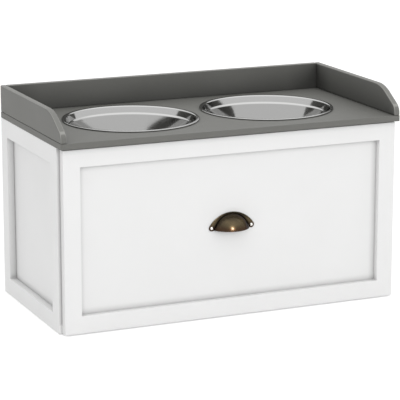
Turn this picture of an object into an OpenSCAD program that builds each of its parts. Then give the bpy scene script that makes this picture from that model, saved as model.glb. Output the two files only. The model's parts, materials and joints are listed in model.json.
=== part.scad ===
// Raised pet feeder with a storage drawer: a white cabinet of frames and thin
// panels, a grey top with guards on three sides, two lift-out steel bowls and
// one wide drawer on roller runners. Millimetres, +Z up, the front faces -Y.
// The origin is at the middle of the whole outline, on the floor.

/* [Overall] */
// Width of the top board, left end to right end
top_w = 600; // [580:5:640]
// Depth of the top board, front edge to back edge
top_d = 300; // [296:2:330]
// Height from the floor to the top of the guards
overall_h = 360; // [340:5:420]

/* [Top and guards] */
// Thickness of the top board
top_t = 10; // [9:1:12]
// Height of the guards above the top board
guard_h = 45; // [40:1:60]
// Thickness of the guards
guard_t = 10; // [9:1:12]
// Slope of a side guard's front end, in degrees below level
nose_slope = 31; // [25:1:40]
// Height at which the sloping line would meet the guard's front edge
nose_h = 14; // [10:1:20]
// Radius between the slope and the upright front edge
nose_r = 20; // [8:1:22]
// Radius between the level top and the slope
shoulder_r = 70; // [30:5:90]
// Radius that eases the edges of the grey boards
ease_r = 1; // [0.5:0.5:2]

/* [Cabinet] */
// Thickness of the side frames and of the drawer front's frame
frame_t = 15; // [15:1:18]
// Visible width of a side frame's stiles and rails
rail_w = 30; // [26:1:36]
// Thickness of the thin panels held in the frames
panel_t = 3; // [3:0.5:4]
// How far a thin panel reaches behind its frame, all round
panel_lap = 6; // [4:1:7]
// Thickness of the bottom board and of the back board
carcass_t = 12; // [12:1:15]
// Height of the stretcher behind the drawer front's top rail
stretcher_h = 40; // [30:5:40]
// Height of the bottom board above the floor
bottom_z = 4; // [2:1:6]

/* [Drawer] */
// From a cabinet side's outer face to the drawer front's end
front_inset = 5; // [3:1:8]
// From the top board's front edge back to the drawer front's face
front_setback = 6.5; // [4:0.5:8]
// Visible width of the drawer front's stiles and rails
front_rail_w = 29; // [24:1:36]
// Gap under the drawer front, and between its top and the top board
front_gap = 2; // [1.5:0.5:4]
// Thickness of the drawer box's boards
box_t = 12; // [10:1:12]
// Height of the drawer box's sides
box_h = 200; // [140:5:205]
// Height of the drawer sides' lower edges above the floor
box_z = 26; // [24:1:30]
// Thickness of the drawer's bottom
box_bottom_t = 4; // [3:0.5:5]

/* [Fittings] */
// Diameter of the wooden dowels
dowel_d = 6; // [5:1:6]
// Length of the wooden dowels
dowel_l = 28; // [24:1:30]
// Diameter of the cam discs that pull the boards together
cam_d = 12; // [10:1:12]
// Height of the cam discs
cam_h = 9.5; // [8:0.5:10]
// Length of the screws that hold the guards from below
guard_screw_l = 30; // [20:5:35]

/* [Runners] */
// Length of a runner
runner_l = 250; // [230:10:250]
// Clear width that a pair of runner members takes beside the drawer
runner_gap = 12.5; // [12.5:0.1:13]
// Sheet thickness of the runner members
runner_t = 1.2; // [1:0.1:1.5]
// Inner radius of the bends in the runner members
runner_bend_r = 1; // [0.6:0.1:1.2]
// Diameter of the rollers
roller_d = 19; // [17:1:20]
// Width of the rollers
roller_w = 6; // [5:0.5:6]
// Diameter of the pins that the rollers turn on
roller_pin_d = 5; // [4:0.5:6]
// How far the drawer comes out before its rollers meet the stops
drawer_travel = 180; // [150:5:180]

/* [Bowls] */
// Outer diameter of a bowl's rolled rim
rim_d = 228; // [210:2:230]
// Distance between the two bowls' centres
bowl_pitch = 248; // [236:2:260]
// Depth of a bowl, from the top of its rim to the underside
bowl_depth = 68; // [60:1:70]
// Sheet thickness of a bowl
bowl_t = 1; // [0.8:0.1:1.2]
// Height of the rolled rim above the top board
rim_h = 2.5; // [2:0.5:5]
// From the rim's outer edge in to the bowl's wall
rim_w = 6; // [4.5:0.5:8]
// Depth of the upper wall, from the top of the rim to the step
step_depth = 12; // [10:1:20]
// How far the upper wall leans inward on its way down to the step
upper_lean = 2.5; // [1:0.5:4]
// Width of the step in the bowl's wall
step_w = 2.5; // [2:0.5:6]
// Diameter of the bowl's flat underside, which sets how far the lower wall leans inward
base_d = 156; // [146:2:168]
// Radius between the wall and the flat underside
base_r = 16; // [10:1:20]

/* [Cup pull] */
// Width of the pull over its two ears
pull_w = 81; // [76:1:90]
// Height of the pull's rim plate above the open lower edge
pull_h = 28.5; // [26:0.5:34]
// How far the cup stands out from the panel
pull_out = 23; // [20:1:26]
// Height of the pull's lower edge above the floor
pull_z = 146; // [120:1:200]
// Sheet thickness of the pull
pull_t = 1.5; // [1.2:0.1:2]
// Radius of the bead that thickens the cup's lip
lip_bead_r = 1.1; // [0.8:0.1:1.4]

/* [Hidden] */
$fn = 64;

LEFT = -1;
RIGHT = 1;
GREY = [0.46, 0.46, 0.44];
WHITE = [0.93, 0.93, 0.92];
STEEL = [0.75, 0.76, 0.78];
ZINC = [0.66, 0.68, 0.7];
ENAMEL = [0.88, 0.88, 0.86];
NYLON = [0.8, 0.8, 0.77];
BRONZE = [0.27, 0.22, 0.16];
BRIGHT = [0.82, 0.8, 0.77];
BEECH = [0.8, 0.66, 0.48];

// Heights
carcass_h = overall_h - guard_h - top_t;
top_z = carcass_h + top_t;

// Depths: the cup's lip stands a little proud of the top board's front edge,
// and the origin lies midway between that lip and the top's back edge
recess = frame_t - panel_t;
pull_overhang = max(0, pull_out - front_setback - recess);
back_y = (top_d + pull_overhang) / 2;
front_y = back_y - top_d;
bowl_y = front_y + top_d / 2;
face_y = front_y + front_setback;
face_back_y = face_y + frame_t;
panel_y = face_y + recess;
side_gap = 1;
side_front_y = face_back_y + side_gap;
side_d = back_y - side_front_y;

// Widths
half_w = top_w / 2;
inner_x = half_w - frame_t;
box_x = inner_x - runner_gap;
front_half_w = half_w - front_inset;
front_top_z = carcass_h - front_gap;

// Drawer box
inner_front_x = inner_x - 2;
box_front_y = face_back_y + box_t;
box_back_gap = 4;
box_back_y = back_y - carcass_t - box_back_gap;
box_top_z = box_z + box_h;
groove_d = 5;
groove_z = box_z + 8;

// Dowels and cams: places along each joint, and how deep they sit. A cam's
// bolt lies cam_seat below the face that the cam is pressed into
dowel_in = 8;
dowel_top_in = 7;
dowel_play = 0.1;
bottom_dowels_y = [side_front_y + 30, back_y - carcass_t - 25];
bottom_cams_y = [side_front_y + 65, back_y - carcass_t - 60];
back_dowels_z = [bottom_z + 56, carcass_h - 45];
back_cams_z = [bottom_z + 96, carcass_h - 85];
stretcher_dowel_z = carcass_h - stretcher_h + 7;
stretcher_cam_z = carcass_h - 12;
top_dowels_y = [side_front_y + 35, back_y - 42];
top_cams_y = [side_front_y + 75, back_y - 82];
cam_seat = carcass_t / 2;
cam_reach = 16;
cam_play = 0.1;
bolt_thread_d = 5;
bolt_body_d = 6.8;
bolt_neck_d = 3.6;
bolt_head_d = 6;
bolt_in = 7.5;
side_guard_screws_y = [front_y + 70, front_y + 150, front_y + 240];
back_guard_screws_x = [-0.37 * top_w, -0.125 * top_w, 0.125 * top_w, 0.37 * top_w];

// Runners: the drawer member's flange rides on the cabinet's roller, under
// the cabinet member's lip, and the drawer's roller runs on the lower flange
running_gap = 0.3;
roller_r = roller_d / 2;
channel_z = 22;
track_z = channel_z + runner_t;
roller_z = track_z + running_gap + roller_r;
flange_z = roller_z + roller_r + running_gap;
lip_z = flange_z + runner_t + 0.6;
channel_w = 9.5;
lip_w = 7.5;
web_x = inner_x - runner_t;
runner_y = box_front_y + 2;
front_roller_y = runner_y + roller_r + 3;
rear_roller_y = runner_y + runner_l - roller_r - 6;
front_roller_x = web_x - 1.6 - roller_w / 2;
rear_roller_x = box_x + runner_t + 1.6 + roller_w / 2;
pin_fit = 0.05;
pin_head_d = 8;
pin_head_t = 0.8;
foot_w = 10;
flange_start = runner_y + roller_d + 5;
stop_h = 3;
stop_l = 2;
stop_gap = 0.5;
stop_reach = sqrt(roller_r ^ 2 - (roller_r + running_gap - stop_h) ^ 2);
stop_y = rear_roller_y - drawer_travel - stop_reach - stop_gap;

// Bowls: each hangs by a rolled bead and a narrow flange, just clear of the top
seat_gap = 0.3;
bead_r = (rim_h - seat_gap) / 2;
bead_x = rim_d / 2 - bead_r;
bead_z = top_z + rim_h - bead_r;
wall_top_r = rim_d / 2 - rim_w;
hole_r = wall_top_r + 1;
rim_top_z = top_z + rim_h;
bowl_base_z = rim_top_z - bowl_depth;
step_z = rim_top_z - step_depth;
upper_r = wall_top_r - upper_lean;
lower_r = upper_r - step_w;

// Cup pull: the dome is a cap of a ball, cut level above the ball's centre,
// which lies behind the panel's face
dome_drop = 6;
dome_base_r = 32.6;
dome_back = (dome_base_r ^ 2 - dome_drop ^ 2 - pull_out ^ 2) / (2 * pull_out);
dome_r = sqrt(dome_back ^ 2 + dome_base_r ^ 2);
lip_r = sqrt(dome_r ^ 2 - dome_drop ^ 2);

// The plate's upper edge is one arc that runs into the round ears without a
// kink, so the arc's circle and the ears' circles touch from inside
ear_r = 5;
ear_x = pull_w / 2 - ear_r;
ear_z = 4;
plate_drop = (ear_x ^ 2 + ear_z ^ 2 - (pull_h - ear_r) ^ 2) / (2 * (pull_h - ear_r - ear_z));
plate_r = pull_h + plate_drop;

// Screws: shank and head diameters, and the play of a shank in its hole
screw_play = 0.2;
runner_screw_d = 3.4;
foot_screw_d = 3;
fixing_screw_d = 4;
box_screw_d = 3.5;
guard_screw_d = 3.5;
pull_screw_d = 3;

// Rectangle with rounded corners and its lower left corner at the origin
module rounded_rect(w, h, r) {
  translate([r, 0]) square([w - 2 * r, h]);
  translate([0, r]) square([w, h - 2 * r]);
  for (x = [r, w - r], y = [r, h - r]) translate([x, y]) circle(r = r, $fn = 24);
}

// Board with all its edges eased, its lowest corner at the origin
module eased_board(size, r) {
  intersection() {
    linear_extrude(size.z) rounded_rect(size.x, size.y, r);
    translate([0, size.y, 0]) rotate([90, 0, 0]) linear_extrude(size.y)
      rounded_rect(size.x, size.z, r);
    rotate([90, 0, 90]) linear_extrude(size.x) rounded_rect(size.y, size.z, r);
  }
}

// What rounding a corner of an outline takes off: p is the corner, a and b
// are the directions of its two edges in degrees, and r is the radius
module corner_waste(p, a, b, r) {
  half = abs(a - b) / 2;
  mid = (a + b) / 2;
  reach = r / tan(half);
  middle = p + r / sin(half) * [cos(mid), sin(mid)];
  difference() {
    polygon([p, p + reach * [cos(a), sin(a)], middle, p + reach * [cos(b), sin(b)]]);
    translate(middle) circle(r = r, $fn = 180);
  }
}

// Copies on the left and on the right of the middle plane
module both_sides() {
  children();
  mirror([1, 0, 0]) children();
}

// Puts what is drawn for the right-hand side on the side asked for
module on_side(side) {
  if (side == RIGHT) children();
  else mirror([1, 0, 0]) children();
}

module top_board() color(GREY) difference() {
  translate([-half_w, front_y, carcass_h]) eased_board([top_w, top_d, top_t], ease_r);
  for (x = [-bowl_pitch / 2, bowl_pitch / 2])
    translate([x, bowl_y, carcass_h - 1]) cylinder(r = hole_r, h = top_t + 2, $fn = 180);
  at_guard_screws() flush_screw_hole(7, guard_screw_d, top_t + 1);
  at_top_dowels() dowel_hole(dowel_top_in);
  at_top_cams() bolt_hole();
}

// Outline of a side guard, front edge at 0 and foot at 0
module guard_outline() {
  slope_run = (guard_h - nose_h) / tan(nose_slope);
  difference() {
    polygon([[0, 0], [top_d, 0], [top_d, guard_h], [slope_run, guard_h], [0, nose_h]]);
    corner_waste([0, nose_h], -90, nose_slope, nose_r);
    corner_waste([slope_run, guard_h], 180 + nose_slope, 360, shoulder_r);
  }
}

module side_guard(side) color(GREY) difference() {
  on_side(side) intersection() {
    translate([half_w - guard_t, front_y, top_z]) rotate([90, 0, 90])
      linear_extrude(guard_t) guard_outline();
    translate([half_w - guard_t, back_y + 1, top_z]) rotate([90, 0, 0])
      linear_extrude(top_d + 2) rounded_rect(guard_t, guard_h, ease_r);
  }
  at_guard_screws() screw_hole(guard_screw_d, guard_screw_l + 1);
}

module back_guard() color(GREY) difference() {
  translate([-half_w + guard_t, back_y - guard_t, top_z])
    eased_board([top_w - 2 * guard_t, guard_t, guard_h], ease_r);
  at_guard_screws() screw_hole(guard_screw_d, guard_screw_l + 1);
}

// Screws up through the top board into the guards
module at_guard_screws() {
  both_sides() for (y = side_guard_screws_y)
    translate([half_w - guard_t / 2, y, carcass_h]) children();
  for (x = back_guard_screws_x) translate([x, back_y - guard_t / 2, carcass_h]) children();
}

module guard_screws() color(ZINC)
  at_guard_screws() flush_screw(7, guard_screw_d, guard_screw_l);

// Flat frame in the XY plane with a rebate for its panel in the back (z = 0)
module panel_frame(w, h, member) difference() {
  eased_board([w, h, frame_t], 1);
  translate([member, member, -1]) cube([w - 2 * member, h - 2 * member, frame_t + 2]);
  translate([member - panel_lap, member - panel_lap, -1])
    cube([w - 2 * (member - panel_lap), h - 2 * (member - panel_lap), panel_t + 1]);
}

// The thin panel that fits that frame's rebate
module thin_panel(w, h, member) {
  lap = panel_lap - 0.2;
  translate([member - lap, member - lap, 0])
    cube([w - 2 * (member - lap), h - 2 * (member - lap), panel_t]);
}

// Stands a frame or panel up as a cabinet side, its back to the inside
module as_side(side) on_side(side)
  translate([inner_x, side_front_y, 0]) rotate([90, 0, 90]) children();

module side_frame(side) color(WHITE) difference() {
  as_side(side) panel_frame(side_d, carcass_h, rail_w);
  on_side(side) at_cabinet_runner_screws() screw_hole(runner_screw_d, 13);
  at_side_dowels() dowel_hole(dowel_in);
  at_side_cams() bolt_hole();
  at_top_dowels() mirror([1, 0, 0]) dowel_hole(dowel_l - dowel_top_in);
  at_top_cams() cam_pocket();
}

module side_panel(side) color(WHITE) as_side(side) thin_panel(side_d, carcass_h, rail_w);

// Board between the side frames, bored at its ends for dowels and cams
module carcass_board(place, size) color(WHITE) difference() {
  translate(place) cube(size);
  at_side_dowels() mirror([1, 0, 0]) dowel_hole(dowel_l - dowel_in);
  at_side_cams() cam_pocket();
}

module bottom_board() carcass_board([-inner_x, side_front_y + 0.5, bottom_z],
  [2 * inner_x, side_d - carcass_t - 0.5, carcass_t]);

module back_board() carcass_board([-inner_x, back_y - carcass_t, bottom_z],
  [2 * inner_x, carcass_t, carcass_h - bottom_z]);

module front_stretcher() carcass_board([-inner_x, side_front_y, carcass_h - stretcher_h],
  [2 * inner_x, frame_t, stretcher_h]);

// Dowels from the boards' ends into the side frames: x = 0 on the joint, +X
// into the side frame
module at_side_dowels() both_sides() translate([inner_x, 0, 0]) {
  for (y = bottom_dowels_y) translate([0, y, bottom_z + carcass_t / 2]) children();
  for (z = back_dowels_z) translate([0, back_y - carcass_t / 2, z]) children();
  translate([0, side_front_y + frame_t / 2, stretcher_dowel_z]) children();
}

// Dowels from the side frames up into the top board
module at_top_dowels() both_sides() for (y = top_dowels_y)
  translate([inner_x + frame_t / 2, y, carcass_h]) rotate([0, -90, 0]) children();

// Cams in the boards, their bolts along +X into the side frames. A cam is
// pressed in from its board's hidden face, which lies at z = -cam_seat
module at_side_cams() both_sides() translate([inner_x, 0, 0]) {
  for (y = bottom_cams_y) translate([0, y, bottom_z + cam_seat]) children();
  for (z = back_cams_z)
    translate([0, back_y - carcass_t + cam_seat, z]) rotate([-90, 0, 0]) children();
  translate([0, side_front_y + frame_t - cam_seat, stretcher_cam_z]) rotate([90, 0, 0])
    children();
}

// Cams in the side frames' top rails, their bolts up into the top board
module at_top_cams() both_sides() for (y = top_cams_y)
  translate([inner_x + cam_seat, y, carcass_h]) rotate([0, -90, 0]) rotate([180, 0, 0])
    children();

// Cylinder along +X between two places
module along_x(d, from, to) translate([from, 0, 0]) rotate([0, 90, 0])
  cylinder(d = d, h = to - from, $fn = 32);

module dowel_hole(depth) along_x(dowel_d + 2 * dowel_play, -1, depth + 0.5);

// Dowel with chamfered ends
module dowel(depth) {
  start = depth - dowel_l;
  along_x(dowel_d, start + 1, depth - 1);
  translate([start, 0, 0]) rotate([0, 90, 0]) cylinder(d1 = dowel_d - 2, d2 = dowel_d, h = 1);
  translate([depth - 1, 0, 0]) rotate([0, 90, 0])
    cylinder(d1 = dowel_d, d2 = dowel_d - 2, h = 1);
}

module carcass_dowels() color(BEECH) {
  at_side_dowels() dowel(dowel_in);
  at_top_dowels() dowel(dowel_top_in);
}

// What a board loses to a bolt's threaded end
module bolt_hole() along_x(bolt_thread_d + 2 * cam_play, -1, bolt_in + 0.5);

// What a board loses to a cam and to its bolt's body
module cam_pocket() {
  along_x(bolt_body_d + 2 * cam_play, -cam_reach, 1);
  translate([-cam_reach, 0, -cam_seat - 1])
    cylinder(d = cam_d + 2 * cam_play, h = cam_h + 1 + cam_play);
}

// Disc with the mouth that takes the bolt's head
module cam_disc() translate([-cam_reach, 0, 0]) difference() {
  translate([0, 0, -cam_seat]) cylinder(d = cam_d, h = cam_h);
  along_x(bolt_head_d + 0.6, -bolt_head_d / 2, cam_d);
}

module cam_discs() color(ZINC) {
  at_side_cams() cam_disc();
  at_top_cams() cam_disc();
}

module cam_bolt() {
  body_start = -cam_reach + cam_d / 2 + 0.5;
  along_x(bolt_thread_d, 0, bolt_in);
  along_x(bolt_body_d, body_start, 0);
  along_x(bolt_neck_d, -cam_reach + 1, body_start);
  along_x(bolt_head_d, -cam_reach - 1.5, -cam_reach + 1);
}

module cam_bolts() color(ZINC) {
  at_side_cams() cam_bolt();
  at_top_cams() cam_bolt();
}

// Screw along +Z from its head's seat, with a low domed head below z = 0
module dome_screw(head_d, head_h, d, l) {
  ball_r = (head_d ^ 2 / 4 + head_h ^ 2) / (2 * head_h);
  cylinder(d = d, h = l, $fn = 24);
  intersection() {
    translate([0, 0, -head_h]) cylinder(d = head_d, h = head_h, $fn = 48);
    translate([0, 0, ball_r - head_h]) sphere(r = ball_r, $fn = 180);
  }
}

// Screw along +Z whose cone-shaped head lies flush with z = 0
module flush_screw(head_d, d, l) {
  cylinder(d = d, h = l, $fn = 24);
  cylinder(d1 = head_d, d2 = d, h = (head_d - d) / 2, $fn = 48);
}

// What a board loses to a screw's shank, and to a flush screw's head
module screw_hole(d, l) translate([0, 0, -1]) cylinder(d = d + screw_play, h = l + 1, $fn = 24);

module flush_screw_hole(head_d, d, l) {
  screw_hole(d, l);
  cylinder(d1 = head_d + screw_play, d2 = d, h = (head_d + screw_play - d) / 2, $fn = 48);
}

// Runner screws, two a side, where the side frame's stiles lie behind the runner
module at_cabinet_runner_screws()
  for (y = [runner_y + 4.5, back_y - rail_w + 8])
    translate([web_x, y, roller_z]) rotate([0, 90, 0]) children();

// Bend in a sheet: a quarter ring round the origin, between +X and +Y
module bend(r_in) intersection() {
  difference() {
    circle(r = r_in + runner_t, $fn = 48);
    circle(r = r_in, $fn = 48);
  }
  square(r_in + runner_t);
}

// Draws a section in the XZ plane and pulls it along +Y from y
module pulled(y, l) translate([0, y + l, 0]) rotate([90, 0, 0]) linear_extrude(l) children();

// Section of the cabinet member's web, and of the flange and lip bent from it
module cabinet_web() translate([web_x, track_z + runner_bend_r])
  square([runner_t, lip_z - track_z - 2 * runner_bend_r]);

module cabinet_flanges() {
  bend_x = web_x - runner_bend_r;
  translate([inner_x - channel_w, channel_z]) square([bend_x - inner_x + channel_w, runner_t]);
  translate([inner_x - lip_w, lip_z]) square([bend_x - inner_x + lip_w, runner_t]);
  translate([bend_x, lip_z - runner_bend_r]) bend(runner_bend_r);
  translate([bend_x, track_z + runner_bend_r]) mirror([0, 1]) bend(runner_bend_r);
}

// Channel open to the drawer, its flange and lip cut away round the front
// roller, with a stop on the flange that ends the drawer's travel
module cabinet_runner(side) color(ENAMEL) on_side(side) difference() {
  union() {
    pulled(runner_y, runner_l) cabinet_web();
    pulled(flange_start, runner_y + runner_l - flange_start) {
      cabinet_web();
      cabinet_flanges();
    }
    translate([inner_x - channel_w, stop_y - stop_l, channel_z])
      cube([channel_w - runner_t - 2 * runner_bend_r, stop_l, runner_t + stop_h]);
  }
  translate([web_x - 1, front_roller_y, roller_z]) rotate([0, 90, 0])
    cylinder(d = roller_pin_d, h = runner_t + 2);
  at_cabinet_runner_screws() screw_hole(runner_screw_d, 3);
}

// Pin that carries a roller, with a head outside it, along +X from x = 0
module roller_pin(l) {
  rotate([0, 90, 0]) cylinder(d = roller_pin_d, h = l);
  translate([-pin_head_t, 0, 0]) rotate([0, 90, 0]) cylinder(d = pin_head_d, h = pin_head_t);
}

module cabinet_roller_pins() color(ZINC) both_sides()
  translate([front_roller_x - roller_w / 2 - running_gap, front_roller_y, roller_z])
    roller_pin(inner_x - front_roller_x + roller_w / 2 + running_gap);

// Nylon roller with a shallow dish in each face, its axis along X
module roller() rotate([0, 90, 0]) difference() {
  cylinder(d = roller_d, h = roller_w, center = true);
  cylinder(d = roller_pin_d + 2 * pin_fit, h = roller_w + 2, center = true);
  for (end = [-1, 1]) translate([0, 0, end * roller_w / 2]) difference() {
    cylinder(d = roller_d - 4, h = 2, center = true);
    cylinder(d = roller_pin_d + 4, h = 3, center = true);
  }
}

module front_roller(side) color(NYLON) on_side(side)
  translate([front_roller_x, front_roller_y, roller_z]) roller();

module rear_roller(side) color(NYLON) on_side(side)
  translate([rear_roller_x, rear_roller_y, roller_z]) roller();

module cabinet_runner_screws() color(ZINC) both_sides()
  at_cabinet_runner_screws() dome_screw(7, 0.9, runner_screw_d, 12);

// The drawer front lies face down on its back when it is drawn
module as_drawer_front() translate([-front_half_w, face_back_y, front_gap])
  rotate([90, 0, 0]) children();

module drawer_front_frame() color(WHITE) difference() {
  as_drawer_front() panel_frame(2 * front_half_w, front_top_z - front_gap, front_rail_w);
  at_front_fixing_screws() screw_hole(fixing_screw_d, box_t + 11);
}

module drawer_front_panel() color(WHITE) difference() {
  as_drawer_front() thin_panel(2 * front_half_w, front_top_z - front_gap, front_rail_w);
  at_pull_screws() screw_hole(pull_screw_d, 14);
}

// Places of the pull's screws, on its ears
module at_pull_screws() for (x = [-ear_x, ear_x])
  translate([x, panel_y - pull_t, pull_z + ear_z]) rotate([-90, 0, 0]) children();

// Screws through the inner front into the drawer front's stiles
module at_front_fixing_screws() for (x = [-1, 1], z = [box_z + 25, box_top_z - 25])
  translate([x * (inner_front_x - 6), box_front_y, z]) rotate([90, 0, 0]) children();

// Screws through the inner front into the front ends of the drawer's sides
module at_box_front_screws() for (x = [-1, 1], z = [box_z + 45, box_top_z - 45])
  translate([x * (box_x - box_t / 2), face_back_y, z]) rotate([-90, 0, 0]) children();

// Screws through the drawer's sides into the ends of its back
module at_box_back_screws() both_sides() for (z = [box_z + 45, box_top_z - 45])
  translate([box_x, box_back_y - box_t / 2, z]) rotate([0, -90, 0]) children();

// Screws up through the drawer runner's foot into the drawer side
module at_foot_screws() for (y = [box_front_y + 60, box_front_y + 130, box_front_y + 200])
  translate([box_x - foot_w / 2, y, box_z - runner_t]) children();

// Full-width board that carries the drawer front and covers the runners' ends
module drawer_inner_front() color(WHITE) difference() {
  translate([-inner_front_x, face_back_y, box_z])
    cube([2 * inner_front_x, box_t, box_h]);
  translate([-box_x + box_t - groove_d, box_front_y - groove_d, groove_z])
    cube([2 * (box_x - box_t + groove_d), groove_d + 1, box_bottom_t]);
  at_front_fixing_screws() screw_hole(fixing_screw_d, box_t + 1);
  at_box_front_screws() flush_screw_hole(7, box_screw_d, box_t + 1);
  at_pull_screws() screw_hole(pull_screw_d, 14);
}

module drawer_side(side) color(WHITE) difference() {
  on_side(side) difference() {
    translate([box_x - box_t, box_front_y, box_z])
      cube([box_t, box_back_y - box_front_y, box_h]);
    translate([box_x - box_t - 1, box_front_y - 1, groove_z])
      cube([groove_d + 1, box_back_y - box_front_y + 2, box_bottom_t]);
    at_foot_screws() screw_hole(foot_screw_d, 15);
  }
  at_box_front_screws() screw_hole(box_screw_d, 36);
  at_box_back_screws() flush_screw_hole(7, box_screw_d, box_t + 1);
}

module drawer_back() color(WHITE) difference() {
  translate([-box_x + box_t, box_back_y - box_t, groove_z + box_bottom_t])
    cube([2 * (box_x - box_t), box_t, box_top_z - groove_z - box_bottom_t]);
  at_box_back_screws() screw_hole(box_screw_d, 36);
}

module drawer_bottom() color(WHITE)
  translate([-box_x + box_t - groove_d + screw_play, box_front_y - groove_d + screw_play,
    groove_z])
    cube([2 * (box_x - box_t + groove_d - screw_play),
      box_back_y - box_front_y + groove_d - screw_play, box_bottom_t]);

// Section of the drawer member: a foot under the drawer side's lower edge, a
// wall beside it and the running flange, with a tight and a round bend
module drawer_runner_section() {
  bend_x = box_x + runner_t + runner_bend_r;
  translate([box_x - foot_w, box_z - runner_t]) square([foot_w, runner_t]);
  intersection() {
    translate([box_x, box_z]) circle(r = runner_t, $fn = 48);
    translate([box_x, box_z - runner_t]) square(runner_t);
  }
  translate([box_x, box_z]) square([runner_t, flange_z - runner_bend_r - box_z]);
  translate([bend_x, flange_z - runner_bend_r]) mirror([1, 0]) bend(runner_bend_r);
  translate([bend_x, flange_z]) square([web_x - 1.4 - bend_x, runner_t]);
}

module drawer_runner(side) color(ENAMEL) on_side(side) difference() {
  pulled(box_front_y, runner_l) drawer_runner_section();
  translate([box_x - 1, rear_roller_y, roller_z]) rotate([0, 90, 0])
    cylinder(d = roller_pin_d, h = runner_t + 2);
  at_foot_screws() screw_hole(foot_screw_d, 3);
}

module drawer_roller_pins() color(ZINC) both_sides()
  translate([rear_roller_x + roller_w / 2 + running_gap, rear_roller_y, roller_z])
    mirror([1, 0, 0]) roller_pin(rear_roller_x - box_x + roller_w / 2 + running_gap);

module drawer_runner_screws() color(ZINC) both_sides()
  at_foot_screws() dome_screw(6, 1.2, foot_screw_d, 14);

module front_fixing_screws() color(ZINC)
  at_front_fixing_screws() dome_screw(7, 2, fixing_screw_d, box_t + 10);

module drawer_box_screws() color(ZINC) {
  at_box_front_screws() flush_screw(7, box_screw_d, 35);
  at_box_back_screws() flush_screw(7, box_screw_d, 35);
}

// Half section of a bowl's sheet, from the rolled bead to the middle of the
// base: flange, bend, upper wall, step, lower wall, rounded corner and base
module bowl_section() {
  lip_under_z = bead_z - bowl_t / 2;
  bend = [wall_top_r + 1, lip_under_z - 1];
  corner = [base_d / 2, bowl_base_z + base_r];
  // The lower wall runs tangent into the rounded corner, at this slant
  below_step = [lower_r, step_z - step_w] - corner;
  slant = acos(base_r / norm(below_step)) - atan2(below_step[1], below_step[0]);
  corner_turns = [for (i = [0:9]) -slant - (90 - slant) * i / 9];
  under = concat(
    [[bead_x, lip_under_z]],
    [for (a = [90:15:165]) bend + [cos(a), sin(a)]],
    [[upper_r, step_z], [lower_r, step_z - step_w]],
    [for (a = corner_turns) corner + base_r * [cos(a), sin(a)]],
    [[0, bowl_base_z]]
  );
  inside = concat(
    [[0, bowl_base_z + bowl_t]],
    [for (i = [9:-1:0]) corner + (base_r - bowl_t) * [cos(corner_turns[i]), sin(corner_turns[i])]],
    [[lower_r - bowl_t, step_z - step_w + 0.3], [upper_r - bowl_t, step_z + 0.3]],
    [for (a = [165:-15:90]) bend + (1 + bowl_t) * [cos(a), sin(a)]],
    [[bead_x, lip_under_z + bowl_t]]
  );
  polygon(concat(under, inside));
}

module bowl(side) color(STEEL) translate([side * bowl_pitch / 2, bowl_y, 0]) {
  rotate_extrude($fn = 180) bowl_section();
  rotate_extrude($fn = 180) translate([bead_x, bead_z]) circle(r = bead_r, $fn = 48);
}

// Rim plate of the pull in the XZ plane, its lower edge at z = 0
module plate_outline() {
  intersection() {
    translate([0, -plate_drop]) circle(r = plate_r, $fn = 180);
    translate([-pull_w / 2, 0]) square([pull_w, pull_h + 1]);
  }
  for (x = [-ear_x, ear_x]) translate([x, ear_z]) circle(r = ear_r, $fn = 48);
}

// Half space in front of the panel and above the pull's lower edge
module before_panel() translate([-pull_w / 2, -pull_out - 1, 0])
  cube([pull_w, pull_out + 1, pull_w]);

module cup_pull() color(BRONZE) difference() {
  translate([0, panel_y, pull_z]) {
    difference() {
      union() {
        rotate([90, 0, 0]) linear_extrude(pull_t) plate_outline();
        intersection() {
          translate([0, dome_back, -dome_drop]) sphere(r = dome_r, $fn = 180);
          before_panel();
        }
      }
      translate([0, dome_back, -dome_drop]) sphere(r = dome_r - pull_t, $fn = 180);
    }
    intersection() {
      translate([0, dome_back, lip_bead_r]) rotate_extrude($fn = 180)
        translate([lip_r - lip_bead_r, 0]) circle(r = lip_bead_r, $fn = 48);
      before_panel();
    }
  }
  at_pull_screws() screw_hole(pull_screw_d, 3);
}

module pull_screws() color(BRIGHT)
  at_pull_screws() dome_screw(5.4, 1.5, pull_screw_d, 13);

top_board();
back_guard();
side_guard(LEFT);  // left_guard
side_guard(RIGHT);  // right_guard
side_frame(LEFT);  // left_side_frame
side_frame(RIGHT);  // right_side_frame
side_panel(LEFT);  // left_side_panel
side_panel(RIGHT);  // right_side_panel
bottom_board();
back_board();
front_stretcher();
carcass_dowels();
cam_discs();
cam_bolts();
guard_screws();
cabinet_runner(LEFT);  // left_cabinet_runner
cabinet_runner(RIGHT);  // right_cabinet_runner
cabinet_roller_pins();
front_roller(LEFT);  // left_front_roller
front_roller(RIGHT);  // right_front_roller
cabinet_runner_screws();
drawer_front_frame();
drawer_front_panel();
drawer_inner_front();
drawer_side(LEFT);  // drawer_left_side
drawer_side(RIGHT);  // drawer_right_side
drawer_back();
drawer_bottom();
drawer_runner(LEFT);  // left_drawer_runner
drawer_runner(RIGHT);  // right_drawer_runner
drawer_roller_pins();
rear_roller(LEFT);  // left_rear_roller
rear_roller(RIGHT);  // right_rear_roller
drawer_runner_screws();
front_fixing_screws();
drawer_box_screws();
cup_pull();
pull_screws();
bowl(LEFT);  // left_bowl
bowl(RIGHT);  // right_bowl
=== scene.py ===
# %% [markdown]
# # A raised pet feeder with a storage drawer
# The real object is a small piece of furniture: a white painted cabinet, a grey
# top with guards on three sides, two steel bowls that hang in round holes, and
# one wide drawer on roller runners, opened by an antique bronze cup pull.
#
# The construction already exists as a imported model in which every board, runner
# and screw is a node at its true size. This lesson dresses that model. Nodes
# whose shape is right get a finish, and a few get a finer mesh in their place.

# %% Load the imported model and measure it
import json
import math

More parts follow.
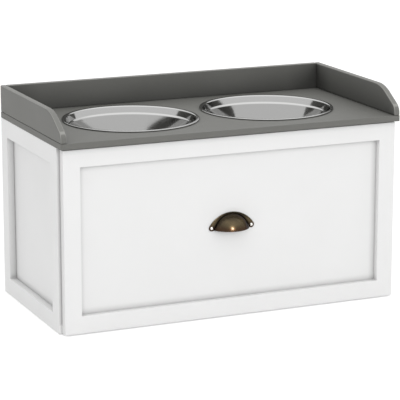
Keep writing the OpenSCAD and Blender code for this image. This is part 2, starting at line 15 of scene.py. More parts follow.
import bmesh
import bpy
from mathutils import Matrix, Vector


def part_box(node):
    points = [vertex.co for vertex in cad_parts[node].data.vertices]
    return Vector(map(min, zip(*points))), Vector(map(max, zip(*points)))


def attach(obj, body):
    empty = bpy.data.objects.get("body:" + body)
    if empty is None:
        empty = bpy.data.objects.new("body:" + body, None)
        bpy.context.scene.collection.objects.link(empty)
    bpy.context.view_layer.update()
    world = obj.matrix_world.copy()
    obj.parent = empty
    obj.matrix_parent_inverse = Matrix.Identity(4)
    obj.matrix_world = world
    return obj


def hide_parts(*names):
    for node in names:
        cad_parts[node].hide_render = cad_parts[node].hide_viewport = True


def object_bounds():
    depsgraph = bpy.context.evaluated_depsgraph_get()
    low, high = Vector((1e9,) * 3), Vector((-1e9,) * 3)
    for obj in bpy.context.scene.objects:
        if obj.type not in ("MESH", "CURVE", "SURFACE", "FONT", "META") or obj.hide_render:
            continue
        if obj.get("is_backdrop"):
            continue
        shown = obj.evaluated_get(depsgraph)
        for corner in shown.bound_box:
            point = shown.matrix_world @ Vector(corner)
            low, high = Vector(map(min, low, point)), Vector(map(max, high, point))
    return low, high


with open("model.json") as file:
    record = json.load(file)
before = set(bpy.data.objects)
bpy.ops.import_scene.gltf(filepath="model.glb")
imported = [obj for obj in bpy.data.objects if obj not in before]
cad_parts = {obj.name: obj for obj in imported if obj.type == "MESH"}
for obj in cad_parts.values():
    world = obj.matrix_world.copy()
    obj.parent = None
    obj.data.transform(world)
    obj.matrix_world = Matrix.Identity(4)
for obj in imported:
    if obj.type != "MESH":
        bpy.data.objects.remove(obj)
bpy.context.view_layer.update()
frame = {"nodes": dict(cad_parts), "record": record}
nodes = frame["nodes"]
MM = 0.001

# %% [markdown]
# ## The camera
# The photo looks at the feeder from its left front, a little from above,
# through a long lens: the two long edges of the top hardly converge. A lens is
# easiest to set as a place, a heading and a tilt. The heading and tilt here
# come from fitting the top's and the drawer front's edges, with no lens shift.

# %% Place the camera
scene = bpy.context.scene
CAMERA_PLACE = Vector((-1.312, -3.008, 0.943))
CAMERA_HEADING = 23.57
CAMERA_TILT = 13.32
CAMERA_LENS = 179.1

lens = bpy.data.cameras.new("camera")
lens.lens = CAMERA_LENS
lens.sensor_width = 36
camera = bpy.data.objects.new("camera", lens)
camera.location = CAMERA_PLACE
camera.rotation_euler = (math.radians(90 - CAMERA_TILT), 0, math.radians(-CAMERA_HEADING))
scene.collection.objects.link(camera)
scene.camera = camera
print("camera is", round(camera.location.length, 2), "m from the feeder")

# %% [markdown]
# ## Small helpers for node materials
# Every finish below is a node tree that ends in one Principled shader. Trees
# can be drawn by hand in the shader editor, but a script can repeat them. These
# helpers keep the trees short: one adds a node and sets or links its inputs,
# and one does a single step of arithmetic.

# %% Helpers that add and join nodes
def add_node(tree, kind, settings=None, **inputs):
    """Adds a node. Its inputs are named like Base_Color, or numbered like i0, and set or linked."""
    made = tree.nodes.new("ShaderNode" + kind)
    for key, value in (settings or {}).items():
        setattr(made, key, value)
    for key, value in inputs.items():
        numbered = key[0] == "i" and key[1:].isdigit()
        socket = made.inputs[int(key[1:]) if numbered else key.replace("_", " ")]
        if isinstance(value, bpy.types.NodeSocket):
            tree.links.new(value, socket)
        else:
            socket.default_value = value
    return made


def calculate(tree, operation, *values):
    """One step of arithmetic on numbers and sockets."""
    inputs = {"i" + str(number): value for number, value in enumerate(values)}
    return add_node(tree, "Math", {"operation": operation}, **inputs).outputs[0]


def new_finish(name):
    """An empty material. Gives it, its tree and its Principled shader."""
    finish = bpy.data.materials.new(name)
    finish.use_nodes = True
    tree = finish.node_tree
    return finish, tree, tree.nodes["Principled BSDF"]


def connect(tree, shader, **links):
    """Links sockets to the shader's inputs, named like Base_Color."""
    for key, socket in links.items():
        tree.links.new(socket, shader.inputs[key.replace("_", " ")])


# %% [markdown]
# ## Helpers for uneven surfaces
# No real surface is even, so each finish mixes two tones or two sheens by a
# noise. The noise takes the size of its grains in millimetres, and can be
# stretched for the grain of wood. A noise can also be a height for a bump,
# which tilts the surface in the light and leaves the mesh as it is.

# %% Helpers for noise, mixing and bumps
def noise(tree, size_mm, detail=2.0, stretch=(1, 1, 1)):
    """Noise from 0 to 1 with grains of that size, longer along an axis where stretch is above 1."""
    place = add_node(tree, "TexCoord").outputs["Object"]
    scaled = add_node(tree, "Mapping", Vector=place, Scale=[1 / s for s in stretch])
    grain = add_node(tree, "TexNoise", Vector=scaled.outputs[0], Scale=1 / (size_mm * MM), Detail=detail)
    return grain.outputs["Fac"]


def between(tree, value, low, high, start=0.3, end=0.7):
    """Maps the range from start to end, a noise's usual one, to the range from low to high."""
    mapped = add_node(tree, "MapRange", Value=value, From_Min=start, From_Max=end, To_Min=low, To_Max=high)
    return mapped.outputs[0]


def blend(tree, amount, first, second):
    """Mixes two colours by an amount from 0 to 1."""
    mix = add_node(tree, "Mix", {"data_type": "RGBA"}, i0=amount, i6=first, i7=second)
    return mix.outputs[2]


def grey(level, warmth=0.0):
    """A colour of that level, with a touch of yellow where warmth is above 0."""
    return (level * (1 + warmth), level * (1 + warmth), level * (1 - warmth), 1)


def bump(tree, height, depth_mm, under=None):
    """A bump of that depth, on top of another bump if one is given."""
    made = add_node(tree, "Bump", Height=height, Distance=depth_mm * MM)
    if under is not None:
        tree.links.new(under, made.inputs["Normal"])
    return made.outputs[0]


# %% [markdown]
# ## Sprayed satin paint
# The white cabinet and the grey top are fibreboard, sanded and sprayed. Paint
# like this is never one flat colour when seen close: the coat is a little
# thicker here and thinner there, the sheen changes with it, and the surface has
# the fine ripple that sprayers call orange peel. Edges soak up more paint and
# stay duller: the Bevel node gives the normal of a rounded edge, and where that
# differs from the true normal there is an edge. Shade is painted into the
# colour in the inner corners, where ambient occlusion tells how shut in a place
# is, but not just above the white floor, which throws light back. One function
# makes all the paints, so they match in character.
#
# The guards get more painted light and shade: their inner faces a deeper
# painted shade, their eased edges a pale painted highlight, and the faces that
# look up painted lighter, as if lit from above. On square boards an eased edge
# is the only place that faces between two axes, so the normal alone finds it.

# %% Paint for the cabinet and for the top
COAT_MM = 90
PEEL_MM = 1.6
FIBRE_MM = 0.25
EDGE_MM = 1.2
EDGE_WEAR = 0.35
EDGE_DULLING = 0.12
PAINTED_TOP_LIGHT = 0.3
FLOOR_BOUNCE = 14 * MM


def darken_corners(tree, colour, reach_mm, shade):
    """Paints shade into a colour: multiplies it towards shade in inner corners, from that far out of them.
    """
    open_air = add_node(tree, "AmbientOcclusion", {"samples": 16}, Distance=reach_mm * MM).outputs["AO"]
    light = between(tree, open_air, shade, 1, start=0.4, end=1)
    place = add_node(tree, "NewGeometry").outputs["Position"]
    above_floor = add_node(tree, "SeparateXYZ", Vector=place).outputs["Z"]
    by_floor = between(tree, above_floor, 1, 0, start=FLOOR_BOUNCE, end=2 * FLOOR_BOUNCE)
    light = calculate(tree, "MAXIMUM", light, by_floor)
    grey_shade = add_node(tree, "CombineColor", i0=light, i1=light, i2=light).outputs[0]
    return add_node(tree, "Mix", {"data_type": "RGBA", "blend_type": "MULTIPLY"},
                    i0=1.0, i6=colour, i7=grey_shade).outputs[2]


def rubbed_places(tree, top_light_amount):
    """Mask of painted light: 1 on eased edges as a highlight, less on faces that look up, 0 elsewhere."""
    normal = add_node(tree, "NewGeometry").outputs["Normal"]
    sizes = add_node(tree, "VectorMath", {"operation": "ABSOLUTE"}, i0=normal).outputs[0]
    parts = add_node(tree, "SeparateXYZ", Vector=sizes).outputs
    largest = calculate(tree, "MAXIMUM", calculate(tree, "MAXIMUM", parts[0], parts[1]), parts[2])
    edge = between(tree, largest, 1, 0, start=0.76, end=0.85)
    facing_up = add_node(tree, "SeparateXYZ", Vector=normal).outputs["Z"]
    lit_from_above_painted = between(tree, facing_up, 0, top_light_amount, start=0.3, end=0.8)
    return calculate(tree, "MAXIMUM", edge, lit_from_above_painted)


def sprayed_paint(name, colour, dull_colour, sheen, gloss, corner_mm, corner_shade, painted_light_colour=None):
    """A satin paint of two close tones. A lighter colour, if given, is painted on as highlight and top
    light.
    """
    finish, tree, shader = new_finish(name)
    coat = noise(tree, COAT_MM, detail=3)
    peel = noise(tree, PEEL_MM, detail=1)
    fibre = noise(tree, FIBRE_MM, detail=2)
    rounded = add_node(tree, "Bevel", {"samples": 8}, Radius=EDGE_MM * MM).outputs[0]
    flat = add_node(tree, "NewGeometry").outputs["Normal"]
    alike = add_node(tree, "VectorMath", {"operation": "DOT_PRODUCT"}, i0=rounded, i1=flat).outputs["Value"]
    edge = between(tree, alike, 1, 0, start=0.75, end=0.98)
    cloudy = blend(tree, between(tree, coat, 0, 1), colour, dull_colour)
    wear_and_painted_light = blend(tree, calculate(tree, "MULTIPLY", edge, EDGE_WEAR), cloudy, dull_colour)
    # On the guards a lighter colour is painted on: a painted highlight on eased edges, painted light on
    # upward faces.
    if painted_light_colour:
        wear_and_painted_light = blend(tree, rubbed_places(tree, PAINTED_TOP_LIGHT), wear_and_painted_light, painted_light_colour)
    rough = between(tree, coat, sheen - 0.04, sheen + 0.05)
    dull_edge = calculate(tree, "MULTIPLY_ADD", edge, EDGE_DULLING, rough)
    ripple = bump(tree, peel, 0.02, under=bump(tree, fibre, 0.004))
    # The base colour carries painted shade in the inner corners.
    connect(tree, shader, Base_Color=darken_corners(tree, wear_and_painted_light, corner_mm, corner_shade),
            Roughness=dull_edge, Normal=ripple)
    shader.inputs["Specular IOR Level"].default_value = gloss
    return finish


WHITE, WHITE_DULL = grey(0.87, 0.001), grey(0.855, 0.002)
GREY, GREY_DULL, GREY_PAINTED_LIGHT = grey(0.157, 0.035), grey(0.165, 0.035), grey(0.33, 0.03)
# Each paint gets painted shade in its inner corners: corner_mm is how far it reaches, corner_shade how
# dark.
white_paint = sprayed_paint("white_paint", WHITE, WHITE_DULL, sheen=0.42, gloss=0.35,
                            corner_mm=11, corner_shade=0.68)
grey_paint = sprayed_paint("grey_paint", GREY, GREY_DULL, sheen=0.5, gloss=0.2,
                           corner_mm=10, corner_shade=0.6)
# The guards' paint has deeper painted shade over a longer reach, and painted highlights and top light.
guard_paint = sprayed_paint("guard_paint", GREY, GREY_DULL, sheen=0.5, gloss=0.25,
                            corner_mm=60, corner_shade=0.3, painted_light_colour=GREY_PAINTED_LIGHT)
print("paints:", white_paint.name, grey_paint.name, guard_paint.name)

# %% [markdown]
# ## Foil-covered fibreboard
# The boards that nobody sees from the front, such as the drawer box and the
# back, are fibreboard with a printed white foil. The foil has a faint pressed
# grain along the board, and it is a shade creamier than the paint.

# %% Foil for the hidden boards
PORE_MM = 0.6
MOTTLE_MM = 60


def foil_board():
    finish, tree, shader = new_finish("white_board")
    pores = noise(tree, PORE_MM, detail=4, stretch=(30, 1, 1))
    mottle = noise(tree, MOTTLE_MM, detail=2)
    colour = blend(tree, between(tree, mottle, 0, 1), grey(0.8, 0.008), grey(0.77, 0.012))
    connect(tree, shader, Base_Color=colour, Roughness=between(tree, pores, 0.42, 0.55),
            Normal=bump(tree, pores, 0.015))
    return finish


white_board = foil_board()
print("foil:", white_board.name)

# %% [markdown]
# ## Polished steel of the bowls
# A pressed bowl is polished on a wheel while it spins, so its fine scratches
# run in circles round the middle. Scratches show as long, soft streaks in the
# reflections. They are made from the distance to the bowl's middle alone: a
# noise of that one number gives rings. The steel stays a mirror in between.
# The steel is painted a little darker on the wall under the step and darker
# still on the flange, as painted dark reflections.

# %% Steel with circular polishing marks
STEEL_BRIGHT = (0.49, 0.49, 0.485, 1)
STEEL_DULL = (0.46, 0.46, 0.455, 1)
STEEL_PAINTED_LOW_REFLECTION = (0.42, 0.42, 0.415, 1)
STEEL_PAINTED_FLANGE_REFLECTION = (0.34, 0.34, 0.335, 1)
RINGS_PER_M = 900
SMUDGE_MM = 45


def spun_steel():
    finish, tree, shader = new_finish("steel")
    place = add_node(tree, "TexCoord").outputs["Object"]
    flat_place = add_node(tree, "VectorMath", {"operation": "MULTIPLY"}, i0=place, i1=(1, 1, 0)).outputs[0]
    radius = add_node(tree, "VectorMath", {"operation": "LENGTH"}, i0=flat_place).outputs["Value"]
    height = add_node(tree, "SeparateXYZ", Vector=place).outputs["Z"]
    along = calculate(tree, "ADD", radius, height)
    rings = add_node(tree, "TexNoise", {"noise_dimensions": "1D"},
                     W=along, Scale=RINGS_PER_M, Detail=2).outputs["Fac"]
    smudge = noise(tree, SMUDGE_MM, detail=3)
    rough = between(tree, rings, 0.05, 0.09)
    hazy = calculate(tree, "MULTIPLY_ADD", smudge, 0.05, rough)
    tone = blend(tree, between(tree, rings, 0, 1), STEEL_DULL, STEEL_BRIGHT)
    # Painted dark reflections: a darker tone below the step and on the flange.
    tone = blend(tree, between(tree, height, 1, 0, start=-16 * MM, end=-13 * MM), tone, STEEL_PAINTED_LOW_REFLECTION)
    tone = blend(tree, between(tree, height, 0, 1, start=-0.5 * MM, end=-0.2 * MM), tone, STEEL_PAINTED_FLANGE_REFLECTION)
    connect(tree, shader, Base_Color=tone, Roughness=hazy, Normal=bump(tree, rings, 0.0004))
    shader.inputs["Metallic"].default_value = 1
    return finish


steel = spun_steel()
print("steel has", len(steel.node_tree.nodes), "nodes")

# %% [markdown]
# ## Antique bronze of the cup pull
# The pull is a zinc casting, plated and then dipped to turn it dark brown. The
# maker rubs it afterwards: the raised middle of the cup comes out olive brown
# and the creases stay nearly black. The cup's flanks and top are painted
# darker, as painted dark reflections, and it is redder towards the lip. The
# object's own coordinates say where a place lies on the cup, and ambient
# occlusion says how shut in it is. Two noises break up the borders. A trace of
# wax gives the highlight its white middle, and a dark specular tint keeps the
# patina brown where it is seen at a grazing angle.

# %% Dark bronze with rubbed places, black creases and painted dark reflections
RUBBED = (0.096, 0.07, 0.034, 1)
DARK_PATINA_AND_REFLECTION = (0.034, 0.023, 0.01, 1)
RED_BROWN = (0.048, 0.024, 0.009, 1)
CREASE = (0.001, 0.0007, 0.0005, 1)
GRAZING = (0.3, 0.22, 0.14, 1)
WAX = 0.4
PATINA_MM = 11
SPECKLE_MM = 0.9


def antique_bronze():
    finish, tree, shader = new_finish("bronze")
    patina = noise(tree, PATINA_MM, detail=4)
    speckle = noise(tree, SPECKLE_MM, detail=2)
    place = add_node(tree, "TexCoord").outputs["Object"]
    parts = add_node(tree, "SeparateXYZ", Vector=place).outputs
    aside = calculate(tree, "ABSOLUTE", parts["X"])
    on_cup = calculate(tree, "LESS_THAN", parts["Y"], -2 * MM)
    # The flanks and the top of the cup are painted darker, as painted dark reflections.
    painted_flank_reflection = calculate(tree, "MULTIPLY", on_cup, between(tree, aside, 0, 0.85, start=13 * MM, end=24 * MM))
    wavy = calculate(tree, "MULTIPLY_ADD", patina, 6 * MM, parts["Z"])
    near_lip = between(tree, wavy, 1, 0, start=7 * MM, end=13 * MM)
    painted_top_reflection = between(tree, wavy, 0, 1, start=17 * MM, end=24 * MM)
    brown = blend(tree, between(tree, patina, 0, 0.45), RUBBED, DARK_PATINA_AND_REFLECTION)
    brown = blend(tree, painted_top_reflection, brown, DARK_PATINA_AND_REFLECTION)
    brown = blend(tree, painted_flank_reflection, brown, DARK_PATINA_AND_REFLECTION)
    brown = blend(tree, near_lip, brown, RED_BROWN)
    shut_in = add_node(tree, "AmbientOcclusion", {"samples": 16}, Distance=9 * MM).outputs["AO"]
    rubbed = between(tree, shut_in, 0, 1, start=0.74, end=0.96)
    patina_and_painted_reflection = blend(tree, rubbed, CREASE, brown)
    rough = between(tree, patina, 0.2, 0.26)
    grainy = calculate(tree, "MULTIPLY_ADD", speckle, 0.06, rough)
    connect(tree, shader, Base_Color=patina_and_painted_reflection, Roughness=grainy, Normal=bump(tree, speckle, 0.01),
            Coat_Weight=calculate(tree, "MULTIPLY", rubbed, WAX))
    shader.inputs["Metallic"].default_value = 1
    shader.inputs["Specular Tint"].default_value = GRAZING
    shader.inputs["Coat Roughness"].default_value = 0.14
    return finish


bronze = antique_bronze()
print("bronze has", len(bronze.node_tree.nodes), "nodes")

# %% [markdown]
# ## Small metal and plastic parts
# Screws, pins and cams are zinc plated, the pull's screws are nickel plated,
# the runners are pressed steel with a white powder coat, the rollers are
# nylon and the dowels are beech. Plating looks slightly cloudy, powder coat is
# a coarser orange peel than paint, nylon lets a little light in under its
# surface, and beech has short flecks along its grain.

# %% Plating, powder coat, nylon and beech
def plating(name, colour, dull, rough_low, rough_high):
    finish, tree, shader = new_finish(name)
    cloud = noise(tree, 2.5, detail=3)
    connect(tree, shader, Base_Color=blend(tree, between(tree, cloud, 0, 1), colour, dull),
            Roughness=between(tree, cloud, rough_low, rough_high),
            Normal=bump(tree, noise(tree, 0.3), 0.003))
    shader.inputs["Metallic"].default_value = 1
    return finish


def powder_coat():
    finish, tree, shader = new_finish("enamel")
    peel = noise(tree, 0.8, detail=2)
    cloud = noise(tree, 25)
    colour = blend(tree, between(tree, cloud, 0, 1), grey(0.78, 0.01), grey(0.74, 0.015))
    connect(tree, shader, Base_Color=colour, Roughness=between(tree, peel, 0.3, 0.42),
            Normal=bump(tree, peel, 0.03))
    return finish


def nylon_plastic():
    finish, tree, shader = new_finish("nylon")
    cloud = noise(tree, 6, detail=2)
    colour = blend(tree, between(tree, cloud, 0, 1), grey(0.72, 0.02), grey(0.66, 0.03))
    connect(tree, shader, Base_Color=colour, Roughness=between(tree, cloud, 0.4, 0.52),
            Normal=bump(tree, noise(tree, 0.5), 0.01))
    shader.inputs["Subsurface Weight"].default_value = 0.15
    shader.inputs["Subsurface Radius"].default_value = (0.002, 0.002, 0.0015)
    return finish


def turned_beech():
    finish, tree, shader = new_finish("beech")
    grain = noise(tree, 1.2, detail=4, stretch=(12, 1, 1))
    flecks = noise(tree, 0.5, detail=2, stretch=(4, 1, 1))
    wood = blend(tree, between(tree, grain, 0, 1), (0.62, 0.42, 0.24, 1), (0.5, 0.32, 0.17, 1))
    connect(tree, shader, Base_Color=wood, Roughness=between(tree, flecks, 0.55, 0.7),
            Normal=bump(tree, grain, 0.03))
    return finish


zinc = plating("zinc", (0.55, 0.57, 0.6, 1), (0.45, 0.47, 0.5, 1), 0.3, 0.42)
nickel = plating("nickel", (0.85, 0.82, 0.78, 1), (0.78, 0.75, 0.7, 1), 0.18, 0.28)
enamel = powder_coat()
nylon = nylon_plastic()
beech = turned_beech()
print("small parts:", zinc.name, nickel.name, enamel.name, nylon.name, "and", beech.name)

# %% [markdown]
# ## A finish for every node
# The record names a material slot for each node, as a parts list names a
# finish. The imported material of each node is swapped for the finish made above.
# The guards share the slot of the grey top but get their own paint, with more painted shade and painted
# light.

# %% Give every node its finish
FINISHES = {"white_paint": white_paint, "grey_paint": grey_paint, "white_board": white_board,
            "steel": steel, "bronze": bronze, "zinc": zinc, "nickel": nickel, "enamel": enamel,
            "nylon": nylon, "beech": beech}
GUARDS = ("left_guard", "right_guard", "back_guard")
SLOT_OF = {part["node"]: part["material_slot"] for part in frame["record"]["subparts"]}
FINISH_OF = {node: FINISHES[slot] for node, slot in SLOT_OF.items()}
FINISH_OF.update({guard: guard_paint for guard in GUARDS})

for node, finish in FINISH_OF.items():
    for material_slot in nodes[node].material_slots:
        material_slot.material = finish
print("finishes:", ", ".join(sorted(FINISHES)))

# %% [markdown]
# ## Helpers for finer meshes
# Some pieces deserve more than their imported mesh. Each is built from an
# outline or a section, given its node's finish and put on the body that its
# node rides on, and the node's own mesh is hidden. A Bevel modifier rounds its
# edges, as sandpaper would.

# %% Helpers that build a piece in a node's place
BODIES = frame["record"]["behaviour"]["bodies"]
BODY_OF = {node: body for body, members in BODIES.items() for node in members}


def stand_for(node, points, faces, origin=(0, 0, 0), crease=40):
    """A mesh, given in metres round its origin, that takes the place of a node."""
    mesh = bpy.data.meshes.new(node + "_fine")
    mesh.from_pydata([tuple(p) for p in points], [], faces)
    shell = bmesh.new()
    shell.from_mesh(mesh)
    bmesh.ops.recalc_face_normals(shell, faces=shell.faces)
    shell.to_mesh(mesh)
    shell.free()
    mesh.shade_smooth()
    mesh.set_sharp_from_angle(angle=math.radians(crease))
    mesh.materials.append(FINISH_OF[node])
    piece = bpy.data.objects.new(node + "_fine", mesh)
    piece.location = origin
    scene.collection.objects.link(piece)
    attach(piece, BODY_OF[node])
    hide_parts(node)
    return piece


def ease_edges(piece, radius_mm, segments=3):
    """Rounds every edge that turns by more than 30 degrees."""
    modifier = piece.modifiers.new("eased edges", "BEVEL")
    modifier.width = radius_mm * MM
    modifier.segments = segments
    modifier.limit_method = "ANGLE"
    modifier.angle_limit = math.radians(30)
    modifier.harden_normals = True


def arc(centre, radius, start, end, steps):
    """Points on a circle's arc, angles in degrees."""
    turns = [math.radians(start + (end - start) * i / steps) for i in range(steps + 1)]
    return [(centre[0] + radius * math.cos(t), centre[1] + radius * math.sin(t)) for t in turns]


# %% [markdown]
# ## The side guards
# Each side guard is a strip of board whose front end slopes down in a soft
# curve, so that the animal can lean in. It is a flat outline with a thickness.
# The outline needs only its two arcs: a wide one at the shoulder and a tight
# one at the nose, which meet the straight stretches without a kink. The long
# rounded-over edge along the curve catches the light, and its paint adds a
# painted highlight along it.

# %% Build the guards from their outline
NOSE_SLOPE = 31
NOSE_HEIGHT = 14 * MM
NOSE_RADIUS = 20 * MM
SHOULDER_RADIUS = 70 * MM
GUARD_EASE_MM = 2


def guard_outline(length, height):
    """Outline in (depth, height), front edge at 0: foot, nose, slope, shoulder and level top."""
    slope = math.radians(NOSE_SLOPE)
    run = (height - NOSE_HEIGHT) / math.tan(slope)
    nose_back = NOSE_RADIUS * math.tan((math.pi / 2 - slope) / 2)
    nose_middle = (NOSE_RADIUS, NOSE_HEIGHT - nose_back)
    shoulder_back = SHOULDER_RADIUS * math.tan(slope / 2)
    shoulder_middle = (run + shoulder_back, height - SHOULDER_RADIUS)
    nose = arc(nose_middle, NOSE_RADIUS, 180, 90 + NOSE_SLOPE, 10)
    shoulder = arc(shoulder_middle, SHOULDER_RADIUS, 90 + NOSE_SLOPE, 90, 12)
    return [(0, 0)] + nose + shoulder + [(length, height), (length, 0)]


def slab(outline, place):
    """Points and faces of an outline with a thickness. place(u, v, side) gives a point, side 0 or 1."""
    count = len(outline)
    points = [place(u, v, side) for side in (0, 1) for u, v in outline]
    faces = [list(range(count)), list(range(2 * count - 1, count - 1, -1))]
    faces += [[i, (i + 1) % count, (i + 1) % count + count, i + count] for i in range(count)]
    return points, faces


for guard in ("left_guard", "right_guard"):
    low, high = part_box(guard)
    outline = guard_outline(high.y - low.y, high.z - low.z)
    points, faces = slab(outline, lambda u, v, side: ((low.x, high.x)[side], low.y + u, low.z + v))
    ease_edges(stand_for(guard, points, faces), GUARD_EASE_MM)
    print(guard, "outline has", len(outline), "points")

# %% [markdown]
# ## The frames
# The cabinet's sides and the drawer's front are frames round a thin sunk
# panel. A frame is a flat ring: an outer and an inner rectangle with a
# thickness, and a rebate behind for the panel. The inner edges are eased as
# well, which gives the thin light line round each panel in the photo.

# %% Build the frames as rings
RAIL = 30 * MM
FRONT_RAIL = 29 * MM
LAP = 6 * MM
PANEL = 3 * MM
FRAME_EASE_MM = 0.9


def ring(width, height, thickness, rail):
    """Points in (u, v, depth) and faces of a frame. Depth 0 is its face, thickness its back."""
    steps = [(0, thickness), (0, 0), (rail, 0), (rail, thickness - PANEL),
             (rail - LAP, thickness - PANEL), (rail - LAP, thickness)]
    points = []
    for inset, depth in steps:
        points += [(inset, inset, depth), (width - inset, inset, depth),
                   (width - inset, height - inset, depth), (inset, height - inset, depth)]
    faces = []
    for loop in range(len(steps)):
        after = (loop + 1) % len(steps)
        for i in range(4):
            j = (i + 1) % 4
            faces.append([4 * loop + i, 4 * loop + j, 4 * after + j, 4 * after + i])
    return points, faces


for side, outward in (("left", -1), ("right", 1)):
    low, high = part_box(side + "_side_frame")
    points, faces = ring(high.y - low.y, high.z - low.z, high.x - low.x, RAIL)
    face_x = low.x if outward < 0 else high.x
    points = [(face_x - outward * d, low.y + u, low.z + v) for u, v, d in points]
    ease_edges(stand_for(side + "_side_frame", points, faces), FRAME_EASE_MM)

low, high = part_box("drawer_front_frame")
points, faces = ring(high.x - low.x, high.z - low.z, high.y - low.y, FRONT_RAIL)
points = [(low.x + u, low.y + d, low.z + v) for u, v, d in points]
ease_edges(stand_for("drawer_front_frame", points, faces), FRAME_EASE_MM)
print("three frames built")

# %% [markdown]
# ## The bowls
# A bowl starts as a flat disc of steel. A press draws it down in two stages,
# which leaves the step in its wall, and a roller turns its cut edge under, at
# the end of a narrow flat flange. So the section is one sheet of even
# thickness: a line through the middle of the sheet, from the end of the curl
# to the centre of the base. Giving that line its thickness and turning it
# round the axis makes the whole bowl. The lean of the walls matters for the
# looks: a wall that leans 13 degrees mirrors the bright studio from the middle
# of the bowl, and the dark guards of the top from both of its ends.

# %% Section of the bowl's sheet
SHEET = 0.6 * MM
CURL = 1.1 * MM
LIP_CORNER = 108.2 * MM
UPPER_FOOT = 105.2 * MM
LOWER_TOP = 103 * MM
BASE_CORNER = 91 * MM
LIP_BEND = 2.6 * MM
STEP_BEND = 2.4 * MM
BASE_BEND = 16 * MM
STEP_TOP = 11.8 * MM
STEP_FOOT = 14 * MM
BASE_RING = 57.6 * MM
RING_RISE = 0.2 * MM
BEND_STEP = 7


def rounded_path(corners):
    """A line through (radius, height, bend) corners, each corner turned into an arc of its bend."""
    path = [Vector(corners[0][:2])]
    for before, here, after in zip(corners, corners[1:], corners[2:]):
        corner = Vector(here[:2])
        back = (Vector(before[:2]) - corner).normalized()
        ahead = (Vector(after[:2]) - corner).normalized()
        half = back.angle(ahead) / 2
        middle = corner + (back + ahead).normalized() * here[2] / math.sin(half)
        start = corner + back * here[2] / math.tan(half) - middle
        turn = math.copysign(math.pi - 2 * half, back.y * ahead.x - back.x * ahead.y)
        steps = max(2, round(math.degrees(abs(turn)) / BEND_STEP))
        for i in range(steps + 1):
            angle = turn * i / steps
            path.append(middle + Vector((start.x * math.cos(angle) - start.y * math.sin(angle),
                                         start.x * math.sin(angle) + start.y * math.cos(angle))))
    path.append(Vector(corners[-1][:2]))
    return [(point.x, point.y) for point in path]


def bowl_line(rim_radius, depth):
    """Middle line of the sheet as (radius, height), height 0 at the top of the rim."""
    bottom = -depth + SHEET / 2
    line = arc((rim_radius - CURL, -CURL), CURL - SHEET / 2, -200, 90, 18)
    line += rounded_path([(rim_radius - 1.4 * CURL, -SHEET / 2, 0),
                          (LIP_CORNER, -SHEET / 2, LIP_BEND),
                          (UPPER_FOOT, -STEP_TOP, STEP_BEND),
                          (LOWER_TOP, -STEP_FOOT, STEP_BEND),
                          (BASE_CORNER, bottom, BASE_BEND),
                          (BASE_RING + 2.4 * MM, bottom, 0)])
    line += [(BASE_RING + 1.2 * MM, bottom + RING_RISE), (BASE_RING, bottom + RING_RISE)]
    line += [(BASE_RING - 1.2 * MM, bottom), (25 * MM, bottom), (0, bottom)]
    return line


print("sheet line has", len(bowl_line(114 * MM, 68 * MM)), "points")

# %% [markdown]
# ## From a line to a sheet
# The line gets half the sheet's thickness on either side, square to its own
# run, so that the sheet is as thick in the wall as in the base. A Solidify
# modifier does this to a mesh, but here two offset lines are enough, and both
# can be made to end exactly on the axis.

# %% Thicken the line
def thicken(line, thickness):
    """The two faces of a sheet along its middle line."""
    first, second = [], []
    for i, (r, z) in enumerate(line):
        before, after = line[max(i - 1, 0)], line[min(i + 1, len(line) - 1)]
        along = Vector((after[0] - before[0], after[1] - before[1])).normalized()
        first.append((r - along.y * thickness / 2, z + along.x * thickness / 2))
        second.append((r + along.y * thickness / 2, z - along.x * thickness / 2))
    first[-1] = (0, line[-1][1] - thickness / 2)
    second[-1] = (0, line[-1][1] + thickness / 2)
    return first, second


print("sheet is", round(SHEET / MM, 1), "mm thick")

# %% [markdown]
# ## From a section to a round bowl
# Each point of the section becomes a ring of points round the axis, as if it
# were drawn on a potter's wheel. A Screw modifier would do this too, but rings
# made here end in a single point on the axis, so the sheet is closed.

# %% Turn the section round the bowl's axis
TURNS = 192


def turned(section):
    """Points and faces of a section turned round the Z axis. Its two ends lie on the axis."""
    points, faces = [(0, 0, section[0][1])], []
    inner = section[1:-1]
    for r, z in inner:
        points += [(r * math.cos(2 * math.pi * i / TURNS), r * math.sin(2 * math.pi * i / TURNS), z)
                   for i in range(TURNS)]
    points.append((0, 0, section[-1][1]))
    last = len(points) - 1
    for i in range(TURNS):
        j = (i + 1) % TURNS
        faces.append([0, 1 + j, 1 + i])
        for k in range(len(inner) - 1):
            a, b = 1 + k * TURNS, 1 + (k + 1) * TURNS
            faces.append([a + i, a + j, b + j, b + i])
        end = 1 + (len(inner) - 1) * TURNS
        faces.append([end + i, end + j, last])
    return points, faces


bowls = []
for bowl in ("left_bowl", "right_bowl"):
    low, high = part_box(bowl)
    middle = Vector(((low.x + high.x) / 2, (low.y + high.y) / 2, high.z))
    outer, inner = thicken(bowl_line((high.x - low.x) / 2, high.z - low.z), SHEET)
    points, faces = turned(outer[::-1] + inner)
    bowls.append(stand_for(bowl, points, faces, origin=middle, crease=50))
    print(bowl, "has", len(faces), "faces")

# %% [markdown]
# ## The cup pull
# The pull is cast in one piece: a cup for the fingers, open below, a flat
# crescent plate round it, and an ear for a screw at each end. The cup is part
# of a ball, so each point on it lies at the ball's radius from its middle. A
# grid of such points runs from the arch on the drawer to the arch of the open
# lip, and a thin bead thickens the lip where fingertips pull.

# %% Measure the pull from its node
pull_low, pull_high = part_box("cup_pull")
PULL_WALL = 1.5 * MM
DOME_DROP = 6 * MM
DOME_BASE = 32.6 * MM
EAR = 5 * MM
LIP_BEAD = 1.1 * MM
PLATE_SOFT = 0.8 * MM
INSIDE_EAR = 0.999

